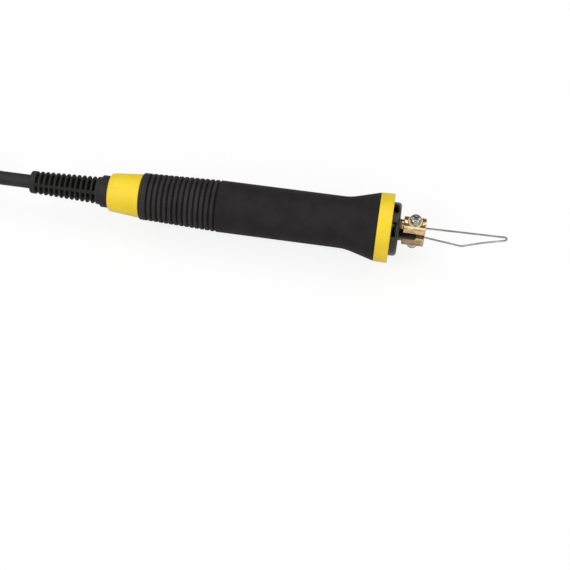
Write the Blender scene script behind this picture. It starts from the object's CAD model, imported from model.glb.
# %% [markdown]
# # A hot wire cutter pen
# The pen is a yellow moulded core inside a black rubber grip. Two brass posts at its front clamp a bent
# resistance wire, and a slotted rubber boot at its tail lets the supply cord out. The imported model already
# has the real sizes and the moving bodies, so this lesson dresses it: each piece is made where its solid
# lies.

import math
from functools import partialmethod
from types import SimpleNamespace

import bmesh
import bpy
from mathutils import Matrix, Vector
from mathutils.geometry import convex_hull_2d


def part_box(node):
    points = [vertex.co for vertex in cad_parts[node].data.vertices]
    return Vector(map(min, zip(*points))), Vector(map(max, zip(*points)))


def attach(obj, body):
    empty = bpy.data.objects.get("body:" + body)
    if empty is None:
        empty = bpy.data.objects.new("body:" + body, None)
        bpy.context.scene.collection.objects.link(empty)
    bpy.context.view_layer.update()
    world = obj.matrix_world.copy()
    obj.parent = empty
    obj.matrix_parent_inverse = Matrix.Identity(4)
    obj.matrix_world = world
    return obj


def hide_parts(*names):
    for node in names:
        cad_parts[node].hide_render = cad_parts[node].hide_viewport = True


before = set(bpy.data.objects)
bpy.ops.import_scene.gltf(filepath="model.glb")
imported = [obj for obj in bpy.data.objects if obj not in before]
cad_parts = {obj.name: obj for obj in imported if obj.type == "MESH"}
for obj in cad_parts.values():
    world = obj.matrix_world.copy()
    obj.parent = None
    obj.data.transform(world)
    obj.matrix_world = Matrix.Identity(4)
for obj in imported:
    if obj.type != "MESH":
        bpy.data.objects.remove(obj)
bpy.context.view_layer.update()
scene = bpy.context.scene
MM = 0.001
core_low, core_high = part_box("handle_core")
axis_z = (core_low.z + core_high.z) / 2
collar_x = core_high.x
print("the pen axis lies", round(axis_z / MM, 2), "mm above the floor")

# %% [markdown]
# Everything is placed from the collar's front face, on the pen's axis and in millimetres, because that is how
# such a pen is measured. Blender works in metres, so one helper turns such a place into a point of the scene.
# Two more put an object into the scene and turn a camera or a lamp towards what it looks at.

# %% Places and objects
def on_pen(t, y=0.0, z=0.0):
    """A place in metres: t mm in front of the collar's face, y and z mm off the pen axis."""
    return Vector((collar_x + t * MM, y * MM, axis_z + z * MM))


def placed(name, data):
    """An object in the scene that shows the data."""
    made = bpy.data.objects.new(name, data)
    scene.collection.objects.link(made)
    return made


def face(thing, place, aim):
    """Stands a camera or a lamp at a place, looking at its aim."""
    thing.location = place
    thing.rotation_euler = (aim - thing.location).to_track_quat("-Z", "Y").to_euler()


print("helpers ready: on_pen, placed, face")

# %% [markdown]
# The photograph looks down on the pen from its near side, steeply enough to show the top of the upper clamp
# screw. A camera can be set by angles or by two points. Two points are easier to check against the picture:
# where the camera stands and what it looks at. A small roll levels it, because the pen was not quite square
# to the lens.

# %% Camera
camera_data = bpy.data.cameras.new("photo_camera")
camera_data.lens = 73.9
camera_data.sensor_width = 36.0
camera_data.clip_start = 0.01
camera = placed("photo_camera", camera_data)
aim, camera_roll = Vector((0.01443, -0.03545, 0.01520)), -0.226
face(camera, (0.05503, -0.28592, 0.43909), aim)
camera.rotation_euler.rotate_axis("Z", math.radians(camera_roll))
scene.camera = camera
print("the camera stands", round((aim - camera.location).length, 3), "m from its aim")

# %% [markdown]
# Shaders and Geometry Nodes are both trees of nodes, and typing out every link hides what a tree does. A few
# small helpers keep the later cells short. One adds a node and plugs values or other nodes' outputs into it,
# and one gives an output of such a node. An output can be used in sums like a number, and each sum adds a
# Math node. Sums and a few other kinds are shader nodes in every tree, so the helper picks the family.

# %% Node helpers
shared_kinds = ("Math", "MapRange", "Mix", "SeparateXYZ", "CombineXYZ")


def link(value, socket):
    """Plugs an output into a socket."""
    value = getattr(value, "socket", value)
    value.id_data.links.new(value, socket)


def node(tree, kind, wires=None, **settings):
    """Adds a node by the end of its type's name, sets its properties and plugs in values or outputs."""
    family = "GeometryNode" if tree.type == "GEOMETRY" and kind not in shared_kinds else "ShaderNode"
    made = tree.nodes.new(family + kind)
    for setting, value in settings.items():
        setattr(made, setting, value)
    for socket, value in (wires or {}).items():
        if isinstance(value, (Output, bpy.types.NodeSocket)):
            link(value, made.inputs[socket])
        else:
            made.inputs[socket].default_value = value
    return made


def out(tree, kind, wires=None, pick=0, **settings):
    """The picked output of a new node."""
    return Output(node(tree, kind, wires, **settings).outputs[pick])


print("helpers ready: link, node, out")

# %% Sums with outputs
class Output:
    """An output of a node. Sums with it add Math nodes to its tree."""

    def __init__(self, socket):
        self.socket = socket

    def do(self, operation, *others):
        """The result of one Math node that begins with this output."""
        return out(self.socket.id_data, "Math", dict(enumerate([self, *others])), operation=operation)

    def span(self, low, high, to_low, to_high, ease="LINEAR"):
        """This output mapped from low..high to to_low..to_high, and held at the ends."""
        wires = {"Value": self, "From Min": low, "From Max": high, "To Min": to_low, "To Max": to_high}
        return out(self.socket.id_data, "MapRange", wires, interpolation_type=ease)

    __add__, __sub__ = partialmethod(do, "ADD"), partialmethod(do, "SUBTRACT")
    __mul__, __truediv__ = partialmethod(do, "MULTIPLY"), partialmethod(do, "DIVIDE")
    __lt__, __gt__ = partialmethod(do, "LESS_THAN"), partialmethod(do, "GREATER_THAN")


print("sums ready: +, -, *, /, <, >, do and span")

# %% [markdown]
# Most surfaces here are moulded or turned, and they share a build-up: soft patches of two close colours, a
# roughness that is never quite even, and a fine raised grain. One helper makes that from noise on Object
# coordinates, so it needs no UV map and stays put when a piece moves. Stretching the grain along one axis
# turns it into turning marks or drawing lines. Values that are the same all over are set on the shader
# itself. A second helper darkens or lightens a finish where the piece carries an attribute for it, such as
# the depth of a groove.

# %% The shared finish
finishes = {}


def finish(name, colours, patch, rough, grain, depth, stretch=(1, 1, 1), metal=0.0, shine=0.5, **sockets):
    """Makes a procedural finish. patch, grain and depth are in millimetres, rough is a range."""
    made = bpy.data.materials.new(name)
    made.use_nodes = True
    tree = made.node_tree
    shader = tree.nodes["Principled BSDF"]
    shader.inputs["Metallic"].default_value = metal
    shader.inputs["Specular IOR Level"].default_value = shine
    for socket, value in sockets.items():
        shader.inputs[socket.replace("_", " ")].default_value = value
    place = out(tree, "TexCoord", pick="Object")
    patches = out(tree, "TexNoise", {"Vector": place, "Scale": 1 / (patch * MM), "Detail": 5.0})
    share = patches.span(0.35, 0.65, 0.0, 1.0, "SMOOTHSTEP")
    colour = out(tree, "Mix", {0: share, 6: (*colours[0], 1), 7: (*colours[1], 1)}, pick=2, data_type="RGBA")
    stretched = out(tree, "Mapping", {"Vector": place, "Scale": stretch})
    fine = out(tree, "TexNoise", {"Vector": stretched, "Scale": 1 / (grain * MM), "Detail": 6.0})
    relief = node(tree, "Bump", {"Height": fine, "Distance": depth * MM, "Strength": 1.0})
    relief.name = "grain"
    link(colour, shader.inputs["Base Color"])
    link(fine.span(0.3, 0.7, *rough), shader.inputs["Roughness"])
    link(relief.outputs[0], shader.inputs["Normal"])
    finishes[name] = made
    print("finish:", name)


finish("cord_sheath", [(0.012, 0.0118, 0.0118), (0.017, 0.0165, 0.0162)], 6, (0.44, 0.58), 0.5, 0.02,
       shine=0.28)

# %% Tints on a finish
def tinted(name, attribute, tint):
    """Blends a finish's colour towards a tint of it where the piece's attribute is high."""
    tree = finishes[name].node_tree
    base = tree.nodes["Principled BSDF"].inputs["Base Color"]
    colour = base.links[0].from_socket
    wires = {0: 1.0, 6: colour, 7: (tint, tint, tint, 1)}
    toned = out(tree, "Mix", wires, pick=2, data_type="RGBA", blend_type="MULTIPLY")
    amount = out(tree, "Attribute", pick="Fac", attribute_name=attribute)
    link(out(tree, "Mix", {0: amount, 6: colour, 7: toned}, pick=2, data_type="RGBA"), base)


print("tints ready")

# %% [markdown]
# The supply cord leaves the boot straight and is folded into a hank for storage, past the edge of the
# picture. A cord could be drawn by hand or simulated. Here it repeats the route of its solid: hand-set points
# for the free stretches, and a formula for the hank, whose runs are drawn in at the waist where the strap
# holds them.

# %% The cord's free stretches, in millimetres from the boot's end and from the hank's
boot_exit = Vector((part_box("strain_relief")[0].x, 0, axis_z))
cord_d = 6.2
cord_route = [
    (0, 0, 0), (-5, 0, 0), (-10, 0, 0), (-15, 0, 0.1), (-20, 0.3, 0.5), (-25, 1.2, 1.3), (-30, 2.8, 2.5),
    (-35, 5.1, 3.9), (-40, 7.9, 5.3), (-45, 10.8, 6.5), (-50, 13.5, 7.5), (-55, 15.8, 8.1), (-60, 17.5, 8.3),
    (-65, 18.5, 8.3), (-70, 18.6, 8.3), (-76, 18.6, 8.3),
]
tail_route = [
    (2, 0, 0), (5, 0, 0), (8, -0.2, 0), (11, -0.8, 0.1), (14, -1.8, 0.3), (17, -3.1, 0.6), (20, -4.6, 0.9),
    (23, -6.1, 1.2), (26, -7.4, 1.5), (29, -8.4, 1.7), (32, -9, 1.8), (35, -9.3, 1.9), (38, -9.4, 1.9),
    (42, -9.4, 1.9),
]
print("hand-set points:", len(cord_route), "before the hank and", len(tail_route), "after it")

# %% The hank's layers and its waist
hank_start, hank_near, hank_run, hank_layers, hank_pitch = -80.0, -72.0, 72.0, 4, 6.8
fold_r, waist_in, waist_len, strap_h, strap_gap, strap_w = 18.6, 5.0, 60.0, 1.2, 0.9, 8.0
waist_lift = strap_h + strap_gap
hank_far = hank_near - hank_run
hank_mid = hank_near - hank_run / 2
layer_low = cord_d / 2 - axis_z / MM


def layer_z(k):
    """The height of a layer of the hank, counted from the top."""
    return layer_low + hank_pitch * (hank_layers - 1 - k)


def waist(x):
    """How far the hank is drawn in, from 0 at its ends to 1 under the strap."""
    off = abs(x - hank_mid)
    return (1 + math.cos(2 * math.pi * off / waist_len)) / 2 if off < waist_len / 2 else 0.0


def run_point(x, side, z):
    """A point of a run along one side of the hank."""
    return (x, side * (fold_r - waist_in * waist(x)), z + waist_lift * waist(x))


print("hank:", hank_layers, "layers,", round(layer_z(0) - layer_low + cord_d, 1), "mm high at its ends")

# %% The hank's turns
def fold(x, k, way, steps=32):
    """Half a turn at one end of the hank: way is -1 at the far end and 1 at the near end."""
    turns = [math.pi * (i / steps - way / 2) for i in range(1, steps)]
    return [(x + fold_r * math.cos(a), fold_r * math.sin(a), layer_z(k)) for a in turns]


def hank_points(steps=24):
    """The hank's line, from its top layer down to the floor."""
    first_run = hank_far - hank_start
    points = [run_point(hank_start + first_run * i / steps, 1, layer_z(0)) for i in range(steps + 1)]
    points += fold(hank_far, 0, -1)
    for k in range(hank_layers - 1):
        for i in range(steps + 1):
            s = i / steps
            drop = hank_pitch * s * s * (3 - 2 * s)
            points.append(run_point(hank_far + hank_run * s, -1, layer_z(k) - drop))
        points += fold(hank_near, k + 1, 1)
        points += [run_point(hank_near - hank_run * i / steps, 1, layer_z(k + 1)) for i in range(steps + 1)]
        points += fold(hank_far, k + 1, -1)
    return points + [(hank_far, -fold_r, layer_low)]


hank_line = [Vector(p) for p in hank_points()]
print("the hank's line has", len(hank_line), "points")

# %% The cord's whole line
def eased(points, steps=4):
    """Points on a smooth curve through the hand-set ones."""
    ends = [points[0]] + list(points) + [points[-1]]
    line = []
    for a, b, c, d in zip(ends, ends[1:], ends[2:], ends[3:]):
        a, b, c, d = Vector(a), Vector(b), Vector(c), Vector(d)
        for i in range(steps):
            s = i / steps
            square, cube = 2 * a - 5 * b + 4 * c - d, 3 * b - a - 3 * c + d
            line.append(0.5 * (2 * b + (c - a) * s + square * s**2 + cube * s**3))
    return line + [Vector(points[-1])]


cord_line = eased(cord_route) + hank_line + eased([hank_line[-1] + Vector(p) for p in tail_route])
cord_path = [boot_exit + p * MM for p in cord_line]

# %% [markdown]
# The round sheath itself is the route with a thickness. A curve with a bevel is the natural way: its own line
# stays the centreline that the cord's length is measured on.

# %% The cord
cord_curve = bpy.data.curves.new("supply_cord", "CURVE")
cord_curve.dimensions = "3D"
cord_spline = cord_curve.splines.new("POLY")
cord_spline.points.add(len(cord_path) - 1)
for point, spot in zip(cord_spline.points, cord_path):
    point.co = (*spot, 1.0)
cord_curve.bevel_depth = cord_d / 2 * MM
cord_curve.bevel_resolution = 7
cord_curve.use_fill_caps = True
supply_cord = placed("supply_cord", cord_curve)
print("cord made,", cord_d, "mm thick")

# %% [markdown]
# Nearly all of this object was turned on a lathe or moulded in a round tool, so a turned profile is the main
# shape here. Each profile is a list of points along the axis and off it, with a rounding for each corner,
# because no real edge is sharp and a rounded edge catches the light. The same profile could go through the
# Screw modifier, but writing the rings out keeps the poles and the seam closed.

# %% Rounded profiles
def rounded(points, steps=6):
    """A profile whose corners (along, off, rounding) are replaced by arcs."""
    flat = [Vector(p[:2]) for p in points]
    line = [flat[0]]
    for a, b, c, r in zip(flat, flat[1:], flat[2:], [p[2] for p in points[1:-1]]):
        u, v = (a - b).normalized(), (c - b).normalized()
        half = math.acos(max(-1.0, min(1.0, u.dot(v)))) / 2
        if r <= 0 or half > math.radians(88):
            line.append(b)
            continue
        reach = min(r / math.tan(half), 0.49 * (a - b).length, 0.49 * (c - b).length)
        r = reach * math.tan(half)
        middle = b + (u + v).normalized() * r / math.sin(half)
        first, last = b + u * reach - middle, b + v * reach - middle
        bend = math.pi - 2 * half
        for i in range(steps + 1):
            s = i / steps
            arc = first * math.sin((1 - s) * bend) + last * math.sin(s * bend)
            line.append(middle + arc / math.sin(bend))
    return [tuple(p) for p in line + [flat[-1]]]


print("profiles ready")

# %% Rings and turned forms
def kept(form, name):
    """An object in the scene made of a bmesh form, with its faces turned outwards."""
    bmesh.ops.recalc_face_normals(form, faces=form.faces)
    mesh = bpy.data.meshes.new(name)
    form.to_mesh(mesh)
    form.free()
    return placed(name, mesh)


def skin(form, rings):
    """Faces between each ring of points and the next. A ring of one point is a pole."""
    for a, b in zip(rings, rings[1:]):
        for k in range(max(len(a), len(b))):
            ring = [a[k % len(a)], a[(k + 1) % len(a)], b[(k + 1) % len(b)], b[k % len(b)]]
            corners = list(dict.fromkeys(ring))
            if len(corners) > 2:
                form.faces.new(corners)


def turned(name, profile, origin, axis=(1, 0, 0), sides=128):
    """A profile, in mm, turned about an axis through origin. One that begins off the axis is a loop."""
    ahead = Vector(axis)
    up = Vector((0, 1, 0)) if abs(ahead.z) > 0.5 else Vector((0, 0, 1))
    side = up.cross(ahead)
    form = bmesh.new()
    rings = []
    for along, off in profile:
        spots = [0.0] if off < 1e-6 else [2 * math.pi * k / sides for k in range(sides)]
        outward = [side * math.cos(a) + up * math.sin(a) for a in spots]
        rings.append([form.verts.new(origin + (ahead * along + way * off) * MM) for way in outward])
    skin(form, rings + (rings[:1] if profile[0][1] > 0 else []))
    return kept(form, name)


print("turned forms ready")

# %% [markdown]
# Every piece is handed over in the same way. It gets its finish, its smooth faces, the body that it moves
# with and the names of the solids that it stands for. What a modifier makes is kept as a plain mesh first,
# because the export reads meshes.

# %% Handing a piece over
def smooth(piece, angle):
    """Smooth shading that keeps edges sharper than the angle crisp."""
    piece.data.polygons.foreach_set("use_smooth", [True] * len(piece.data.polygons))
    piece.data.set_sharp_from_angle(angle=math.radians(angle))


def dress(piece, name):
    """Gives a piece one finish all over."""
    piece.data.materials.clear()
    piece.data.materials.append(finishes[name])


def fit(piece, name, body, *nodes, angle=None, slot=None):
    """Gives a piece its finish, its body, its solids and, with an angle, smooth faces."""
    dress(piece, name)
    if angle:
        smooth(piece, angle)
    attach(piece, body)
    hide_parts(*nodes)
    count = sum(len(p.vertices) - 2 for p in piece.data.polygons) if piece.type == "MESH" else 0
    print("piece:", piece.name, "on", body, count, "triangles")
    return piece


def bake(piece):
    """Keeps what a piece's modifiers make as its plain mesh."""
    mesh = bpy.data.meshes.new_from_object(piece.evaluated_get(bpy.context.evaluated_depsgraph_get()))
    piece.modifiers.clear()
    piece.data = mesh
    return mesh


print("helpers ready: smooth, dress, fit, bake")

# %% [markdown]
# The far end of the cord is a low-voltage barrel plug. Its moulded body carries grip rings, its relief is
# ribbed so that it bends with the cord, and the barrel is two metal sleeves with an insulating ring between
# them. All are turned about the plug's own axis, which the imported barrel's box gives.

# %% The plug's ribbed profiles
pin_low, pin_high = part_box("plug_barrel")
plug_axis = Vector((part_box("plug_relief")[0].x, (pin_low.y + pin_high.y) / 2, (pin_low.z + pin_high.z) / 2))
relief_len, relief_r, relief_floor, relief_first, relief_pitch = 11.0, 3.9, 3.3, 1.9, 2.2
body_len, body_r, ring_floor, ring_pitch = 19.0, 5.0, 4.6, 2.0
pin_len, pin_r, pin_bore, insulator_bore, contact_r, contact_bore = 9.5, 2.75, 2.35, 1.5, 1.45, 1.05
pin_at = relief_len + body_len
pin_end = pin_at + pin_len
relief_line, body_line = [(0, 0, 0), (0, 3.86, 0.3)], [(relief_len, 0, 0), (relief_len, body_r, 0.8)]
for i in range(4):
    at = relief_first + i * relief_pitch
    relief_line += [(at, relief_r, 0.25), (at + 0.15, relief_floor, 0.2)]
    relief_line += [(at + 0.85, relief_floor, 0.2), (at + 1.0, relief_r + 0.02, 0.25)]
    at = relief_len + body_len / 3 + i * ring_pitch
    body_line += [(at, body_r, 0.15), (at + 0.35, ring_floor, 0.15)]
    body_line += [(at + 0.85, ring_floor, 0.15), (at + 1.2, body_r, 0.15)]
relief_line += [(relief_len, 4.0, 0), (relief_len, 0, 0)]
body_line += [(pin_at, body_r, 0.8), (pin_at, 0, 0)]
print("plug:", len(relief_line), "corners on its relief and", len(body_line), "on its body")

# %% The plug's metal sleeves
insulator_end, contact_end, contact_floor = pin_end - 0.4, pin_end - 0.8, pin_at + 0.4
contact_line = [
    (pin_at, 0, 0), (pin_at, contact_r, 0), (contact_end, contact_r, 0.1), (contact_end, contact_bore, 0.1),
    (contact_floor, contact_bore, 0), (contact_floor, 0, 0),
]


def sleeve_line(bore, outer, end, soft):
    """The closed profile of a plain sleeve from the plug's body to an end, with its front edges rounded."""
    line = [(pin_at, bore, 0), (pin_at, outer, 0), (end, outer, soft), (end, bore, soft), (pin_at, bore, 0)]
    return rounded(line)[:-1]


barrel_line = sleeve_line(pin_bore, pin_r, pin_end, 0.12)
insulator_line = sleeve_line(insulator_bore, pin_bore - 0.05, insulator_end, 0.15)
print("plug:", pin_end, "mm long, with a barrel", 2 * pin_r, "mm across")

# %% The plug's pieces
finish("plug_black", [(0.012, 0.012, 0.013), (0.018, 0.018, 0.018)], 5, (0.34, 0.48), 0.25, 0.012)
finish("plug_metal", [(0.66, 0.64, 0.60), (0.74, 0.72, 0.69)], 3, (0.16, 0.3), 0.4, 0.002,
       stretch=(6, 1, 1), metal=1.0)
finish("contact_brass", [(0.72, 0.50, 0.22), (0.80, 0.58, 0.29)], 2, (0.2, 0.34), 0.3, 0.002, metal=1.0)
for name, line, sides, angle, colour, solid in (
    ("plug_relief_ribs", rounded(relief_line), 72, 50, "plug_black", "plug_relief"),
    ("plug_moulded_body", rounded(body_line), 72, 50, "plug_black", "plug_body"),
    ("plug_barrel_sleeve", barrel_line, 64, 35, "plug_metal", "plug_barrel"),
    ("plug_insulating_ring", insulator_line, 64, 35, "plug_black", "plug_insulator"),
    ("plug_inner_contact", rounded(contact_line), 48, 35, "contact_brass", "plug_contact"),
):
    piece = turned(name, line, plug_axis, sides=sides)
    fit(piece, colour, "pen", solid, angle=angle)

# %% [markdown]
# Geometry Nodes suit what follows a rule or a path. One helper starts a tree, with a named input for each
# size, and one ends it. Another runs it with the same sizes and keeps the outcome as a plain mesh, so that
# nothing live is left on the piece. Inputs are set by the socket's identifier before the object is first
# evaluated.

# %% Starting and ending a tree
def label(size):
    """A size's name as an input shows it."""
    return size.replace("_", " ").capitalize()


def start_tree(name, sizes):
    """A new tree with inputs for a geometry, a finish and each size, and what these inputs give, by name."""
    tree = bpy.data.node_groups.new(name, "GeometryNodeTree")
    tree.is_modifier = True
    kinds = {"geometry": "Geometry", "finish": "Material"}
    kinds |= {size: "Int" if isinstance(value, int) else "Float" for size, value in sizes.items()}
    for size, kind in kinds.items():
        tree.interface.new_socket(label(size), in_out="INPUT", socket_type=f"NodeSocket{kind}")
    tree.interface.new_socket("Geometry", in_out="OUTPUT", socket_type="NodeSocketGeometry")
    inputs = tree.nodes.new("NodeGroupInput").outputs
    return tree, SimpleNamespace(**{size: Output(inputs[label(size)]) for size in kinds})


def end_tree(tree, geometry, given):
    """Realize Instances, smooth shading and Set Material, which every tree here ends in."""
    real = out(tree, "RealizeInstances", {"Geometry": geometry})
    soft = out(tree, "SetShadeSmooth", {"Geometry": real, "Shade Smooth": True})
    dressed = out(tree, "SetMaterial", {"Geometry": soft, "Material": given.finish})
    link(dressed, tree.nodes.new("NodeGroupOutput").inputs["Geometry"])
    print("tree:", tree.name, len(tree.nodes), "nodes")


def sweep(tree, given, path, section, caps):
    """Ends a tree with a section swept along a path, with or without caps on its ends."""
    wires = {"Curve": path, "Profile Curve": section, "Fill Caps": caps}
    end_tree(tree, out(tree, "CurveToMesh", wires), given)


print("helpers ready: start_tree, end_tree, sweep")

# %% Running a tree
def grow(name, tree, colour, sizes, base=None):
    """Runs a tree with a finish and its sizes, and keeps the result as a plain mesh object."""
    made = placed(name, base or bpy.data.meshes.new(name))
    growth = made.modifiers.new(name, "NODES")
    growth.node_group = tree
    values = {"Finish": finishes[colour], **{label(size): value for size, value in sizes.items()}}
    for item in tree.interface.items_tree:
        if item.name in values:
            growth[item.identifier] = values[item.name]
    bake(made).name = name
    return made


print("helper ready: grow")

# %% [markdown]
# A woven strap holds the hank at its waist. It is a flat band swept along a closed path, the outline round
# all the turns. The path is found as the hull of circles round the outer turns, and the tree sweeps a flat
# section along it and writes how far round each point lies, which the weave then follows.

# %% The strap's path
waist_y = fold_r - waist_in
strap_r = cord_d / 2 + strap_gap + strap_h / 2
turns = [
    (waist_y, layer_z(3)), (waist_y, layer_z(0)),
    (-waist_y, layer_z(0) - hank_pitch / 2), (-waist_y, layer_z(2) - hank_pitch / 2),
]
around = [
    (y + strap_r * math.cos(math.pi * k / 24), z + waist_lift + strap_r * math.sin(math.pi * k / 24))
    for y, z in turns for k in range(48)
]
hull = [around[i] for i in convex_hull_2d(around)]
first = hull.index(min(hull))
strap_outline = [boot_exit + Vector((hank_mid, y, z)) * MM for y, z in hull[first:] + hull[:first]]
print("strap path:", len(strap_outline), "points")

# %% The strap's weave
finish("strap_fabric", [(0.012, 0.012, 0.013), (0.020, 0.020, 0.021)], 2, (0.78, 0.95), 0.12, 0.05,
       Sheen_Weight=0.25, Sheen_Roughness=0.5)
weave_tree = finishes["strap_fabric"].node_tree
weave_along = out(weave_tree, "Attribute", pick="Fac", attribute_name="along")
weave_across = out(weave_tree, "SeparateXYZ", {0: out(weave_tree, "TexCoord", pick="Object")})
thread, thread_rise = 0.55 * MM, 0.12 * MM
warp, weft = ((way * (2 * math.pi / thread)).do("SINE") for way in (weave_across, weave_along))
weave_bump = out(weave_tree, "Bump", {"Height": warp * weft, "Distance": thread_rise, "Strength": 1.0})
link(weave_bump, weave_tree.nodes["grain"].inputs["Normal"])

# %% The strap
strap_sizes = dict(width=strap_w * MM, thickness=strap_h * MM)
strap_tree, given = start_tree("strap_sweep", strap_sizes)
path = out(strap_tree, "MeshToCurve", {"Mesh": given.geometry})
distance = out(strap_tree, "SplineParameter", pick="Length")
marked = out(strap_tree, "StoreNamedAttribute", {"Geometry": path, "Name": "along", "Value": distance})
section = out(strap_tree, "CurvePrimitiveQuadrilateral", {"Width": given.width, "Height": given.thickness})
rounding = {"Curve": section, "Radius": given.thickness * 0.3, "Count": 3}
sweep(strap_tree, given, marked, out(strap_tree, "FilletCurve", rounding, mode="POLY"), False)

strap_path = bpy.data.meshes.new("strap_path")
strap_count = len(strap_outline)
strap_path.from_pydata(strap_outline, [(i, (i + 1) % strap_count) for i in range(strap_count)], [])
hank_strap = grow("hank_strap", strap_tree, "strap_fabric", strap_sizes, strap_path)
fit(hank_strap, "strap_fabric", "pen", "hank_tie", angle=60)

# %% [markdown]
# The strap and the plug go where the cord goes. So the cord is declared after them, with its length along the
# route and the pieces that ride on it.

# %% The cord with what is on it
fit(supply_cord, "cord_sheath", "pen", "cord", "cord_hank", "cord_tail")

# %% [markdown]
# The handle core is one yellow moulding that shows twice: as the smooth tail band and as the collar at the
# front. It is turned from one profile, with a large rounding at the tail and a small one on the collar's
# front edge, and its hidden tube and cup are kept so that the piece is whole from inside as well.

# %% Handle core
finish("core_yellow", [(0.87, 0.610, 0.015), (0.92, 0.665, 0.022)], 9, (0.38, 0.52), 0.35, 0.006, shine=0.4)
tail_x, band_x, collar_len, collar_r = -125.0, -110.5, 6.0, (core_high.z - core_low.z) / 2 / MM
tail_r, band_r, tube_out, tube_in, cord_way, tail_wall = 8.4, 9.75, 8.5, 6.7, 5.1, 3.5
cup_rear, cup_front, cup_out, cup_in, cap_seat_t, cap_seat_r = -23, -11, 12.13, 8.88, -9.05, 10.13
tail_inside = tail_x + tail_wall
core_line = [
    (tail_x, cord_way, 0), (tail_x, tail_r, 1.2), (band_x, band_r, 0.25), (band_x, tube_out, 0),
    (cup_rear, tube_out, 0), (cup_front, cup_out, 0), (-collar_len, cup_out, 0),
    (-collar_len, collar_r - 0.15, 0.2), (0, collar_r, 0.6), (0, cap_seat_r, 0.15),
    (cap_seat_t, cap_seat_r, 0), (cap_seat_t, cup_in, 0), (cup_front, cup_in, 0),
    (cup_rear, tube_in, 0), (tail_inside, tube_in, 0), (tail_inside, cord_way, 0), (tail_x, cord_way, 0),
]
handle_core = turned("handle_core_moulding", rounded(core_line)[:-1], on_pen(0), sides=192)
fit(handle_core, "core_yellow", "pen", "handle_core", angle=35)

# %% [markdown]
# The grip is a main piece that follows a rule: fourteen ribs swell slightly towards a plain barrel, and the
# barrel flares to the collar. The tree bends a flat grid into a tube: rows run along the pen, and a few sums
# give each row's radius. Ping-Pong counts the ribs, and Smooth Maximum blends the barrel into the flare as
# the mould does. It also stores how deep in a groove each point lies, so that the rubber can be darker there.
# The boot is rolled from a grid in the same way, so both steps are helpers.

# %% Rolling a grid into a tube
def flat_grid(tree, rows, sides):
    """A flat grid, and each point's share of the way along it and angle round the tube to come."""
    counts = {"Vertices X": rows + 1.0, "Vertices Y": sides + 1.0}
    grid = out(tree, "MeshGrid", {"Size X": 1.0, "Size Y": 1.0, **counts})
    flat = node(tree, "SeparateXYZ", {0: out(tree, "InputPosition")}).outputs
    share, turn = Output(flat[0]) + 0.5, Output(flat[1]) + 0.5
    return grid, share, turn * (2 * math.pi)


def roll_up(tree, given, grid, along, angle, radius, **notes):
    """Stores the notes on the grid's points, rolls it into a tube about the pen axis and ends the tree."""
    for note, value in notes.items():
        grid = out(tree, "StoreNamedAttribute", {"Geometry": grid, "Name": note, "Value": value})
    upward = radius * angle.do("SINE") + given.axis_height
    spot = out(tree, "CombineXYZ", {0: given.start + along, 1: radius * angle.do("COSINE"), 2: upward})
    bent = out(tree, "SetPosition", {"Geometry": grid, "Position": spot})
    end_tree(tree, out(tree, "MergeByDistance", {"Geometry": bent, "Distance": 0.002 * MM}), given)


print("tube helpers ready")

# %% The ribbed grip's tree
rib_count, rib_pitch, rib_land, flare_angle, grip_front_r = 14, 2.32, 1.4, 15.5, collar_r - 0.2
rib_len = rib_land + rib_count * rib_pitch
plain_len = -collar_len - band_x - rib_len
grip_sizes = dict(
    start=on_pen(band_x).x, axis_height=axis_z, land=rib_land * MM, rib_length=rib_len * MM,
    plain_length=plain_len * MM, pitch=rib_pitch * MM, depth=0.68 * MM, groove=0.28, crown=0.08 * MM,
    rear_radius=10.35 * MM, barrel_radius=11.4 * MM, front_radius=grip_front_r * MM,
    flare_slope=math.tan(math.radians(flare_angle)), blend=1.2 * MM,
    rear_edge=0.35 * MM, front_edge=0.15 * MM, rib_rows=360, plain_rows=110, sides=160)
grip_tree, given = start_tree("ribbed_grip", grip_sizes)
all_rows = given.rib_rows + given.plain_rows
grid, share, angle = flat_grid(grip_tree, all_rows, given.sides)
row = share * all_rows
in_rib_rows = row.span(0.0, given.rib_rows, 0.0, given.rib_length + given.pitch)
along = in_rib_rows + row.span(given.rib_rows, all_rows, 0.0, given.plain_length - given.pitch)
counted = (along - given.land) / given.pitch
in_ribs = (counted > 0.5) * (along < given.pitch * 0.5 + given.rib_length)
off_groove = counted.do("PINGPONG", 0.5)
groove = off_groove.span(0.03, given.groove, 1.0, 0.0, "SMOOTHSTEP") * in_ribs
arch = (off_groove * -2.0 + 1.0).do("POWER", 2.0) * given.crown * in_ribs
plain_r = along.span(0.0, given.rib_length, given.rear_radius, given.barrel_radius)
to_front = given.rib_length + given.plain_length - along
flare_r = given.front_radius - to_front * given.flare_slope
outer_r = plain_r.do("SMOOTH_MAX", flare_r, given.blend) - (groove * given.depth + arch)
for to_end, edge in ((to_front, given.front_edge), (along, given.rear_edge)):
    outer_r -= to_end.span(0.0, edge, edge, 0.0, "SMOOTHERSTEP")
crest = (along < given.rib_length) - groove
roll_up(grip_tree, given, grid, along, angle, outer_r, groove=groove, crest=crest)

# %% [markdown]
# A tree that bends a grid leaves a tube with two open ends. A short bmesh helper adds rings for the hidden
# inner faces and joins the last ring to the first, so the sleeve becomes one closed wall of rubber.

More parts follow.
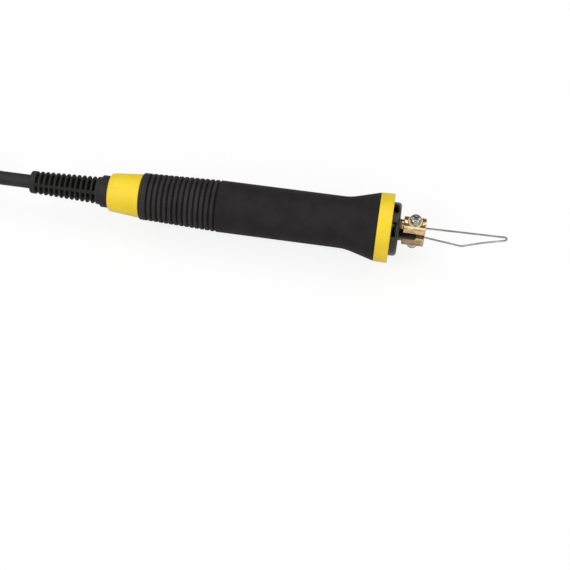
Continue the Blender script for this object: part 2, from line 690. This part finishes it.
# %% Closing a sleeve
def close_sleeve(piece, inner):
    """Adds the rings of an inner profile (t, off), in mm, from the sleeve's front end to its rear."""
    form = bmesh.new()
    form.from_mesh(piece.data)
    rim = {v for e in form.edges if e.is_boundary for v in e.verts}
    middle_x = (min(v.co.x for v in rim) + max(v.co.x for v in rim)) / 2

    def by_angle(v):
        return math.atan2(v.co.z - axis_z, v.co.y)

    rear = sorted((v for v in rim if v.co.x < middle_x), key=by_angle)
    front = sorted((v for v in rim if v.co.x > middle_x), key=by_angle)
    turns = [by_angle(v) for v in front]
    rings = [front]
    for t, off in inner:
        rings.append([form.verts.new(on_pen(t, off * math.cos(a), off * math.sin(a))) for a in turns])
    skin(form, rings + [rear])
    bmesh.ops.recalc_face_normals(form, faces=form.faces)
    form.to_mesh(piece.data)
    form.free()
    return piece


print("sleeve helper ready")

# %% Grip sleeve
finish("grip_rubber", [(0.0165, 0.0140, 0.0145), (0.0220, 0.0192, 0.0195)], 7, (0.60, 0.78), 0.22, 0.045,
       shine=0.12)
tinted("grip_rubber", "groove", 0.5)
tinted("grip_rubber", "crest", 1.7)
play = 0.05
grip_sleeve = grow("grip_sleeve_rubber", grip_tree, "grip_rubber", grip_sizes)
close_sleeve(grip_sleeve, [
    (-collar_len, cup_out + play), (cup_front - play, cup_out + play), (cup_rear - play, tube_out + play),
    (band_x, tube_out + play)])
fit(grip_sleeve, "grip_rubber", "pen", "grip_sleeve", angle=55)

# %% [markdown]
# The strain relief boot is a soft cone cut by slots, so that it bends more and more towards its tip. Two webs
# run along it and tie the ribs together. The same grid helpers make it: a power of the distance from a rib's
# middle gives the rounded rib, and where the angle is near a web the radius is held up. The collar that seats
# on the tail and the flange inside the handle are added as plain rings.

# %% The slotted boot's tree
boot_ribs, boot_lip, boot_slot, boot_tip_r, boot_root_r, tube_r, web_angle = 12, 1.6, 1.15, 5.0, 6.1, 3.95, 48
boot_end_t = (boot_exit.x - collar_x) / MM
boot_collar_t = tail_x - 3.6
root_t = boot_collar_t - 2.24
boot_pitch = (root_t - boot_end_t - boot_lip) / boot_ribs
boot_sizes = dict(
    start=boot_exit.x, axis_height=axis_z, length=(root_t - boot_end_t) * MM, lip=boot_lip * MM,
    pitch=boot_pitch * MM, rib_share=1 - boot_slot / boot_pitch, tip_radius=boot_tip_r * MM,
    root_radius=boot_root_r * MM, tube_radius=tube_r * MM, web_drop=0.5 * MM, web_half_angle=0.14,
    web_turn=math.radians(90 + web_angle), fullness=2.6, rows=304, sides=144)
boot_tree, given = start_tree("slotted_boot", boot_sizes)
grid, share, angle = flat_grid(boot_tree, given.rows, given.sides)
along = share * given.length
cone_r = along.span(0.0, given.length, given.tip_radius, given.root_radius)
half_rib = given.rib_share * 0.5
past_lip = (along - given.lip) / given.pitch
off_middle = (past_lip.do("FRACT") - half_rib).do("ABSOLUTE")
off_end = (half_rib - along / given.pitch).do("MAXIMUM", 0.0)
off_rib = out(boot_tree, "Mix", {0: past_lip < half_rib, 2: off_middle, 3: off_end}) / half_rib
fall = off_rib.do("MINIMUM", 1.0).do("POWER", given.fullness) * -1.0 + 1.0
rise = fall.do("POWER", given.fullness.do("POWER", -1.0))
wall = cone_r - given.tube_radius
rib_r = wall * rise + given.tube_radius
off_web = (angle - given.web_turn).do("PINGPONG", math.pi / 2)
on_web = off_web.span(given.web_half_angle, given.web_half_angle + 0.07, 1.0, 0.0, "SMOOTHSTEP")
web_r = (wall - given.web_drop) * on_web + given.tube_radius
boot_r = rib_r.do("MAXIMUM", web_r)
depth = (boot_r - given.tube_radius) / wall * -1.0 + 1.0
roll_up(boot_tree, given, grid, along, angle, boot_r, groove=depth)

# %% Strain relief boot
finish("boot_rubber", [(0.0262, 0.0252, 0.0242), (0.0335, 0.0325, 0.0310)], 4, (0.50, 0.66), 0.3, 0.03,
       shine=0.1)
tinted("boot_rubber", "groove", 0.1)
boot_collar_r, boot_neck_r, flange_r, flange_len, boot_bore = 7.1, 5.05, 6.45, 2.0, 3.15
flange_end = tail_inside + flange_len
strain_relief = grow("strain_relief_boot", boot_tree, "boot_rubber", boot_sizes)
boot_inner = rounded([
    (root_t, tube_r, 0), (root_t, boot_root_r, 0.3), (boot_collar_t - 0.3, boot_root_r + 0.05, 0.5),
    (boot_collar_t, boot_collar_r, 0.4), (tail_x, boot_collar_r, 0.15), (tail_x, boot_neck_r, 0),
    (tail_inside, boot_neck_r, 0), (tail_inside, flange_r, 0), (flange_end, flange_r, 0.3),
    (flange_end, boot_bore, 0), (boot_end_t, boot_bore, 0),
])[1:]
close_sleeve(strain_relief, boot_inner)
fit(strain_relief, "boot_rubber", "pen", "strain_relief", angle=60)

# %% [markdown]
# The cap, the posts and the screws are turned forms with holes and slots cut into them. Cutting is what a
# Boolean modifier does, and a narrow Bevel afterwards breaks the new edges as a machinist would. Both can
# leave edges of no length, so points that fall together are merged after each step. The helper counts the
# edges that stay open, where a piece isn't closed, takes the cutters away again and keeps a plain mesh.

# %% Cutters
def stacked(name, rings):
    """A closed form through rings of points, in metres, with a cap on the first and on the last."""
    form = bmesh.new()
    rings = [[form.verts.new(spot) for spot in ring] for ring in rings]
    skin(form, rings)
    form.faces.new(rings[0])
    form.faces.new(rings[-1])
    return kept(form, name)


def rod(name, start, end, r, origin, axis=(1, 0, 0), sides=46):
    """A plain round rod between two places on an axis, to cut a hole with."""
    return turned(name, [(start, 0), (start, r), (end, r), (end, 0)], origin, axis, sides)


print("cutters ready: stacked, rod")

# %% Carving
def settle(piece, least):
    """Keeps what the modifiers made as a plain mesh, without edges shorter than least millimetres."""
    mesh = bake(piece)
    form = bmesh.new()
    form.from_mesh(mesh)
    bmesh.ops.remove_doubles(form, verts=form.verts, dist=least * MM)
    bmesh.ops.dissolve_degenerate(form, dist=least * MM, edges=form.edges)
    open_edges = sum(not edge.is_manifold for edge in form.edges)
    form.to_mesh(mesh)
    form.free()
    return open_edges


def carve(piece, cutters, added=(), bevel=0.08, angle=32):
    """Joins the added forms to a piece, cuts the cutters from it and breaks its edges by bevel mm."""
    for other, way in [(o, "UNION") for o in added] + [(o, "DIFFERENCE") for o in cutters]:
        cut = piece.modifiers.new(other.name, "BOOLEAN")
        cut.operation = way
        cut.solver = "EXACT"
        cut.object = other
    settle(piece, 0.004)
    broken = piece.modifiers.new("broken_edges", "BEVEL")
    broken.width = bevel * MM
    broken.segments = 2
    broken.limit_method = "ANGLE"
    broken.angle_limit = math.radians(angle)
    broken.harden_normals = False
    print(piece.name, "carved with", settle(piece, 0.002), "open edges")
    for other in list(added) + list(cutters):
        bpy.data.objects.remove(other)
    return piece


print("carving ready")

# %% [markdown]
# The front cap is a black heat-proof moulding. Its rim stands off the collar, with two pairs of vent windows
# behind it, and a thin tongue reaches out between the posts so that they can't touch. The rim is turned, the
# windows are ring sectors cut out of it, and the tongue is a rounded plate.

# %% The cap's turned body
finish("cap_black", [(0.0105, 0.0102, 0.0096), (0.0150, 0.0146, 0.0136)], 4, (0.24, 0.36), 0.3, 0.006)
cap_out, cap_r, cap_rear, cap_floor, cavity_r, spigot_r = 3.4, 11.70, -9, 1.4, 8.88, 10.08
cap_line = [
    (cap_rear, cavity_r, 0), (cap_rear, spigot_r, 0.2), (0, spigot_r, 0), (0, cap_r, 0.15),
    (cap_out, cap_r, 1.5), (cap_out, 0, 0), (cap_floor, 0, 0), (cap_floor, cavity_r, 0),
    (cap_rear, cavity_r, 0),
]
front_cap = turned("front_cap_moulding", rounded(cap_line, 8)[:-1], on_pen(0), sides=144)
print("cap:", 2 * cap_r, "mm across")

# %% The cap's windows
vent_h, vent_turn, vent_span, vent_lean = 2.0, 27.2, 31.4, 8.9


def ring_sector(name, t0, t1, r0, r1, middle, span, steps=10):
    """A closed sector of a ring about the pen axis; angles are in degrees from the top."""
    turns = [math.radians(middle - span / 2 + span * i / steps) for i in range(steps + 1)]
    spots = [(t0, r0), (t1, r0), (t1, r1), (t0, r1)]
    return stacked(name, [[on_pen(t, r * math.sin(a), r * math.cos(a)) for t, r in spots] for a in turns])


windows = [
    ring_sector(f"window_{i}", -0.03, vent_h, cavity_r - 1.2, cap_r + 3, side + turn - vent_lean, vent_span)
    for i, (side, turn) in enumerate([(0, -vent_turn), (0, vent_turn), (180, -vent_turn), (180, vent_turn)])
]
print("windows:", len(windows), "of", vent_span, "degrees")

# %% The cap's tongue, its stud holes and the wall between the lugs
tongue_len, tongue_w, tongue_t, tongue_round = 7.7, 8.6, 0.96, 1.0
tongue_root, tongue_tip = cap_out - 1, cap_out + tongue_len
tongue_outline = rounded([
    (tongue_root, -tongue_w / 2, 0), (tongue_tip, -tongue_w / 2, tongue_round),
    (tongue_tip, tongue_w / 2, tongue_round), (tongue_root, tongue_w / 2, 0)], 8)
tongue_faces = (-tongue_t / 2, tongue_t / 2)
tongue = stacked("tongue", [[on_pen(t, y, z) for t, y in tongue_outline] for z in tongue_faces])
post_z = 4.35
stud_holes = [rod(f"stud_hole_{z}", 0, 5, 2.05, on_pen(0, 0, z)) for z in (-post_z, post_z)]
lug_r, lug_rear, lug_front, lug_half = cavity_r + 0.6, -0.45, 2.4, 0.25
lug_corners = [(lug_rear, -lug_r), (lug_front, -lug_r), (lug_front, lug_r), (lug_rear, lug_r)]
lug_wall = stacked("lug_wall", [[on_pen(t, y, z) for t, y in lug_corners] for z in (-lug_half, lug_half)])
carve(front_cap, windows + stud_holes, [tongue, lug_wall], bevel=0.14)
fit(front_cap, "cap_black", "pen", "front_cap", angle=40)

# %% [markdown]
# Each terminal post is a short brass bar with a stud behind it. A flat seat is milled into its outer side for
# the clamp screw, and a small hole runs in from its front for the wire. Turned brass shows fine rings, so the
# grain of its finish is squeezed along the pen axis, and handling leaves it patchy with a little tarnish. The
# faces between the posts, and the rear of the lower one, are stored as dulled and made darker.

# %% Terminal posts
finish("post_brass", [(0.52, 0.36, 0.165), (0.84, 0.61, 0.35)], 2.2, (0.09, 0.19), 0.9, 0.004,
       stretch=(7, 1, 1), metal=1.0)
tinted("post_brass", "dulled", 0.42)
post_rear, post_front, post_r, screw_t, seat_h, seat_r = 5.1, 14.7, 3.75, 9.9, 2.8, 3.35
stud_end, stud_r, shoulder_r, tapped_r, tapped_end = -4.7, 2.0, 2.25, 1.51, -0.8
wire_inset, wire_r, wire_hole_r, wire_hole_end = 0.8, 0.4, 0.5, 7.6


def terminal_post(name, up):
    """A post on the upper (up = 1) or lower (up = -1) side of the pen axis."""
    centre, outward = on_pen(0, 0, up * post_z), (0, 0, up)
    line = [
        (stud_end, 0, 0), (stud_end, stud_r, 0.3), (cap_out, stud_r, 0), (cap_out, shoulder_r, 0),
        (post_rear, shoulder_r, 0.1), (post_rear, post_r, 0.3), (post_front, post_r, 0.3), (post_front, 0, 0),
    ]
    bar = turned(name, rounded(line, 5), centre, sides=96)
    under_screw = centre + Vector((screw_t * MM, 0, 0))
    seat = rod("seat_cut", seat_h, 9, seat_r, under_screw, outward, 72)
    tapped = rod("tapped_cut", tapped_end, 5, tapped_r, under_screw, outward)
    wire_line = centre + Vector((0, 0, -up * wire_inset * MM))
    wire_hole = rod("wire_cut", wire_hole_end, 20, wire_hole_r, wire_line, sides=32)
    carve(bar, [seat, tapped, wire_hole], bevel=0.07)
    dulled = bar.data.attributes.new("dulled", "FLOAT", "POINT")
    for spot, point in enumerate(bar.data.vertices):
        inward = up * (centre.z - point.co.z) / (post_r * MM)
        forward = (point.co.x - on_pen(post_rear).x) / ((post_front - post_rear) * MM)
        least = 0.0 if up > 0 else 1.0 - 0.45 * min(max(forward, 0.0), 1.0)
        dulled.data[spot].value = min(max((inward - 0.55) / 0.3, least), 1.0)
    return bar


for side, up in (("upper", 1), ("lower", -1)):
    fit(terminal_post(f"{side}_post_brass", up), "post_brass", "pen", f"{side}_post", angle=35)

# %% [markdown]
# A pan-head screw with a cross recess presses on the wire in each post, over a thin washer. The head is
# turned, the cross is two tapered blocks cut out of it. The thread is what repeats: Geometry Nodes sweep a
# small three-sided section along a spiral, and the result is joined to the shank, where it shows when the
# screw is backed out.

# %% The thread's tree
finish("screw_nickel", [(0.33, 0.315, 0.28), (0.48, 0.465, 0.425)], 1.5, (0.14, 0.26), 0.25, 0.003, metal=1.0)
head_z, head_r, head_h, head_round, shank_r, tip_z = seat_h + 0.6, 2.5, 2.7, 1.35, 1.27, -0.35
screw_pitch, ridge_r, thread_len = 0.5, 0.17, head_z - tip_z - 0.45
thread_sizes = dict(
    radius=(shank_r + 0.01) * MM, height=thread_len * MM, turns=thread_len / screw_pitch, ridge=ridge_r * MM)
thread_tree, given = start_tree("screw_thread", thread_sizes)
spiral = out(thread_tree, "CurveSpiral", {
    "Resolution": 32, "Rotations": given.turns, "Start Radius": given.radius, "End Radius": given.radius,
    "Height": given.height})
ridge = out(thread_tree, "CurvePrimitiveCircle", {"Resolution": 3, "Radius": given.ridge})
sweep(thread_tree, given, spiral, ridge, True)

# %% The screw's cross recess
recess_len, recess_w, recess_h = 2.7, 0.75, 1.3
head_top = head_z + head_h
four_corners = ((-1, -1), (1, -1), (1, 1), (-1, 1))


def recess_arm(centre, up, turn):
    """One tapered arm of the cross recess."""
    ahead = Vector((math.cos(turn), math.sin(turn), 0))
    aside = Vector((-math.sin(turn), math.cos(turn), 0))

    def level(z, length, width):
        flat = [ahead * i * length / 2 + aside * j * width / 2 for i, j in four_corners]
        return [centre + corner * MM + Vector((0, 0, up * z * MM)) for corner in flat]

    floor = level(head_top - recess_h, recess_len * 0.5, recess_w * 0.7)
    return stacked("recess_arm", [floor, level(head_top + 0.3, recess_len * 1.12, recess_w * 1.06)])


print("cross recess:", recess_len, "mm long and", recess_h, "mm deep")

# %% Clamp screws
def clamp_screw(name, up):
    """A screw with its cross recess and its thread."""
    centre = on_pen(screw_t, 0, up * post_z)
    line = [
        (tip_z, 0, 0), (tip_z, shank_r, 0.2), (head_z, shank_r, 0), (head_z, head_r, 0.12),
        (head_top, head_r, head_round), (head_top, 0, 0),
    ]
    screw = turned(name, rounded(line, 10), centre, axis=(0, 0, up), sides=96)
    carve(screw, [recess_arm(centre, up, math.radians(a)) for a in (45, 135)], bevel=0.05, angle=40)
    smooth(screw, 35)
    thread = grow("thread", thread_tree, "screw_nickel", thread_sizes)
    turn_over = Matrix.Identity(4) if up > 0 else Matrix.Rotation(math.pi, 4, "X")
    thread.data.transform(Matrix.Translation(centre + Vector((0, 0, up * 0.02 * MM))) @ turn_over)
    joined = bmesh.new()
    joined.from_mesh(screw.data)
    joined.from_mesh(thread.data)
    joined.to_mesh(screw.data)
    joined.free()
    bpy.data.objects.remove(thread)
    return screw


print("screw head:", 2 * head_r, "mm across and", head_h, "mm high")

# %% Clamp washers, and all four pieces
washer_r, washer_bore = 2.92, 1.65


def clamp_washer(name, up):
    """A flat washer between a screw's head and its seat."""
    centre = on_pen(screw_t, 0, up * post_z)
    low, high = seat_h + 0.05, seat_h + 0.55
    line = [
        (low, washer_bore, 0.08), (low, washer_r, 0.12), (high, washer_r, 0.12), (high, washer_bore, 0.08),
        (low, washer_bore, 0),
    ]
    return turned(name, rounded(line, 4)[:-1], centre, axis=(0, 0, up), sides=80)


finish("washer_zinc", [(0.84, 0.79, 0.61), (0.93, 0.88, 0.72)], 1.5, (0.34, 0.46), 0.25, 0.004, metal=1.0)
for side, up in (("upper", 1), ("lower", -1)):
    fit(clamp_screw(f"{side}_clamp_screw", up), "screw_nickel", f"{side}_screw", f"{side}_screw")
    washer = clamp_washer(f"{side}_clamp_washer", up)
    fit(washer, "washer_zinc", f"{side}_washer", f"{side}_washer", angle=40, slot="screw_nickel")

# %% [markdown]
# The cutting wire is one length of resistance wire, bent like a small knife with a blunt tip. A path with a
# bend radius at each corner describes it best, so the tree fillets a line of straight pieces by an attribute
# that each corner carries, and sweeps a round section along it.

# %% Cutting wire
finish("wire_metal", [(0.24, 0.235, 0.23), (0.40, 0.39, 0.38)], 3, (0.28, 0.44), 0.5, 0.006,
       stretch=(0.25, 1, 1), metal=1.0)
wire_sizes = dict(radius=wire_r * MM)
wire_tree, given = start_tree("bent_wire", wire_sizes)
path = out(wire_tree, "MeshToCurve", {"Mesh": given.geometry})
bend_r = out(wire_tree, "InputNamedAttribute", {"Name": "bend"}, data_type="FLOAT")
rounding = {"Curve": path, "Radius": bend_r, "Count": 10, "Limit Radius": True}
bends = out(wire_tree, "FilletCurve", rounding, mode="POLY")
section = out(wire_tree, "CurvePrimitiveCircle", {"Resolution": 20, "Radius": given.radius})
sweep(wire_tree, given, bends, section, True)

leg_z = post_z - wire_inset
leg_end, tip_t = -7, 34.8
wire_corners = [
    (leg_end, leg_z, 0), (1.2, leg_z, 4), (tip_t, 4.45, 1.05), (tip_t, 2.2, 1.4), (24.9, -2.1, 12),
    (16.5, -leg_z - 3.15, 1.5), (0, -leg_z, 4), (leg_end, -leg_z, 0),
]
wire_path = bpy.data.meshes.new("wire_path")
wire_spots = [on_pen(post_front + t, 0, z) for t, z, r in wire_corners]
wire_path.from_pydata(wire_spots, [(i, i + 1) for i in range(len(wire_spots) - 1)], [])
bend = wire_path.attributes.new("bend", "FLOAT", "POINT")
bend.data.foreach_set("value", [r * MM for t, z, r in wire_corners])
cutting_wire = grow("cutting_wire_loop", wire_tree, "wire_metal", wire_sizes, wire_path)
fit(cutting_wire, "wire_metal", "wire", "cutting_wire", angle=50)

# %% [markdown]
# Inside the handle are the studs' fittings, the leads and the cord's sheath. Their solids already have the
# right shape, and they are seen only in a cutaway, so they keep their meshes and just get finishes of their
# own.

# %% Inner fittings
finish("stud_zinc", [(0.05, 0.05, 0.052), (0.08, 0.08, 0.078)], 1.5, (0.4, 0.56), 0.3, 0.004, metal=1.0)
finish("lug_tin", [(0.20, 0.195, 0.185), (0.30, 0.29, 0.28)], 2, (0.44, 0.58), 0.4, 0.004, metal=1.0)
finish("lead_red", [(0.40, 0.020, 0.016), (0.48, 0.030, 0.022)], 5, (0.4, 0.52), 0.3, 0.01)
finish("lead_grey", [(0.10, 0.10, 0.10), (0.14, 0.14, 0.135)], 5, (0.4, 0.52), 0.3, 0.01)
finish("stop_nylon", [(0.74, 0.70, 0.58), (0.80, 0.77, 0.66)], 4, (0.36, 0.5), 0.3, 0.008)
inner = {"inner_cord": "cord_sheath", "cord_stop": "stop_nylon"}
for side, colour in (("upper", "lead_red"), ("lower", "lead_grey")):
    inner |= {f"{side}_{piece}": "stud_zinc" for piece in ("stud_washer", "lock_washer", "nut")}
    inner |= {f"{side}_lug": "lug_tin", f"{side}_lead": colour, f"{side}_sleeve": colour}
for solid, colour in inner.items():
    dress(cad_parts[solid], colour)
print("inner fittings finished")

# %% [markdown]
# The stage is a pale floor under soft light. The pen is shown on plain white, so the floor is lifted towards
# white for rays that come from the camera or off shiny metal, wholly so far from the pen, where no floor's
# edge should show. The soft shadow is kept, because it shows where the pen lies.

# %% Floor
reach, paper_level, seen_level, glossy_share = 3.0, 0.55, 0.98, 0.5
near, far, near_lift = 0.3, 1.0, 0.84
floor_mesh = bpy.data.meshes.new("floor")
floor_corners = [(x * reach, y * reach, 0) for x, y in four_corners]
floor_mesh.from_pydata(floor_corners, [], [(0, 1, 2, 3)])
floor = placed("floor", floor_mesh)
floor_white = bpy.data.materials.new("floor_white")
floor_white.use_nodes = True
tree = floor_white.node_tree
tree.nodes.clear()
rays = node(tree, "LightPath").outputs
mirrored = (Output(rays["Is Glossy Ray"]) * glossy_share).do("MAXIMUM", rays["Is Transmission Ray"])
seen = mirrored.do("MAXIMUM", rays["Is Camera Ray"])
paper = seen.span(0.0, 1.0, paper_level, seen_level)
matt = out(tree, "BsdfDiffuse", {"Color": out(tree, "CombineColor", {0: paper, 1: paper, 2: paper})})
white = out(tree, "Emission", {"Color": (1, 1, 1, 1), "Strength": 1.0})
spot = out(tree, "TexCoord", pick="Object")
distance = out(tree, "VectorMath", {0: spot}, pick="Value", operation="LENGTH")
lift = seen * distance.span(near, far, near_lift, 1.0, "SMOOTHSTEP")
lifted = out(tree, "MixShader", {0: lift, 1: matt, 2: white})
node(tree, "OutputMaterial", {"Surface": lifted})
floor_mesh.materials.append(floor_white)
print("floor:", 2 * reach, "m square")

# %% [markdown]
# Brass and nickel show what stands round them, so the sky is not even. Seen along the pen, it has a bright
# strip low in front and another overhead, and it is dark round the camera and behind. The turned posts mirror
# that as a dark top edge and a bright shoulder, as in the photograph. The camera itself sees plain white.

# %% Sky
world = bpy.data.worlds.new("studio")
world.use_nodes = True
tree = world.node_tree
heading = node(tree, "SeparateXYZ", {0: out(tree, "TexCoord", pick="Generated")}).outputs
along_x, along_y, upward = (Output(socket) for socket in heading)
climb = upward.do("ARCTAN2", along_y * -1.0)
bands = node(tree, "ValToRGB", {0: climb / math.pi})
bands.color_ramp.interpolation = "EASE"
grey, bright, dark = 0.4, 0.85, 0.08
studio = [(0.0, grey), (0.05, grey), (0.10, bright), (0.22, bright), (0.26, dark), (0.45, dark),
          (0.50, bright), (0.63, bright), (0.73, dark)]
for stop, (place, level) in enumerate(studio):
    mark = bands.color_ramp.elements[stop] if stop < 2 else bands.color_ramp.elements.new(place)
    mark.position = place
    mark.color = (level, level, level, 1)
sky = tree.nodes["Background"]
link(bands.outputs[0], sky.inputs["Color"])
link(along_x.do("ABSOLUTE").span(0.35, 0.7, 1.8, 0.5, "SMOOTHSTEP"), sky.inputs["Strength"])
plain = out(tree, "Background", {"Color": (1, 1, 1, 1), "Strength": 1.0})
from_camera = out(tree, "LightPath", pick="Is Camera Ray")
shown = out(tree, "MixShader", {0: from_camera, 1: sky.outputs[0], 2: plain})
link(shown, tree.nodes["World Output"].inputs["Surface"])
scene.world = world
print("sky:", len(studio), "bands")

# %% [markdown]
# Four square lamps give the yellow band and the rubber their level. One lamp overhead would be simpler, but
# the posts would mirror it. These stand beyond the pen's two ends, where the posts don't mirror them.

# %% Lamps
lamp_size, lamp_aim = 0.3, on_pen(-50)
lamps = [
    ("left_key", (-0.42, -0.30, 0.52), 1.6), ("right_key", (0.48, -0.30, 0.52), 1.1),
    ("left_rear", (-0.45, 0.32, 0.42), 0.7), ("right_rear", (0.50, 0.32, 0.42), 0.7),
]
for name, place, watts in lamps:
    lamp = bpy.data.lights.new(name, "AREA")
    lamp.shape, lamp.size, lamp.energy = "SQUARE", lamp_size, watts
    face(placed(name, lamp), place, lamp_aim)
scene.view_settings.view_transform = "Standard"
print("lit by", len(lamps), "lamps")
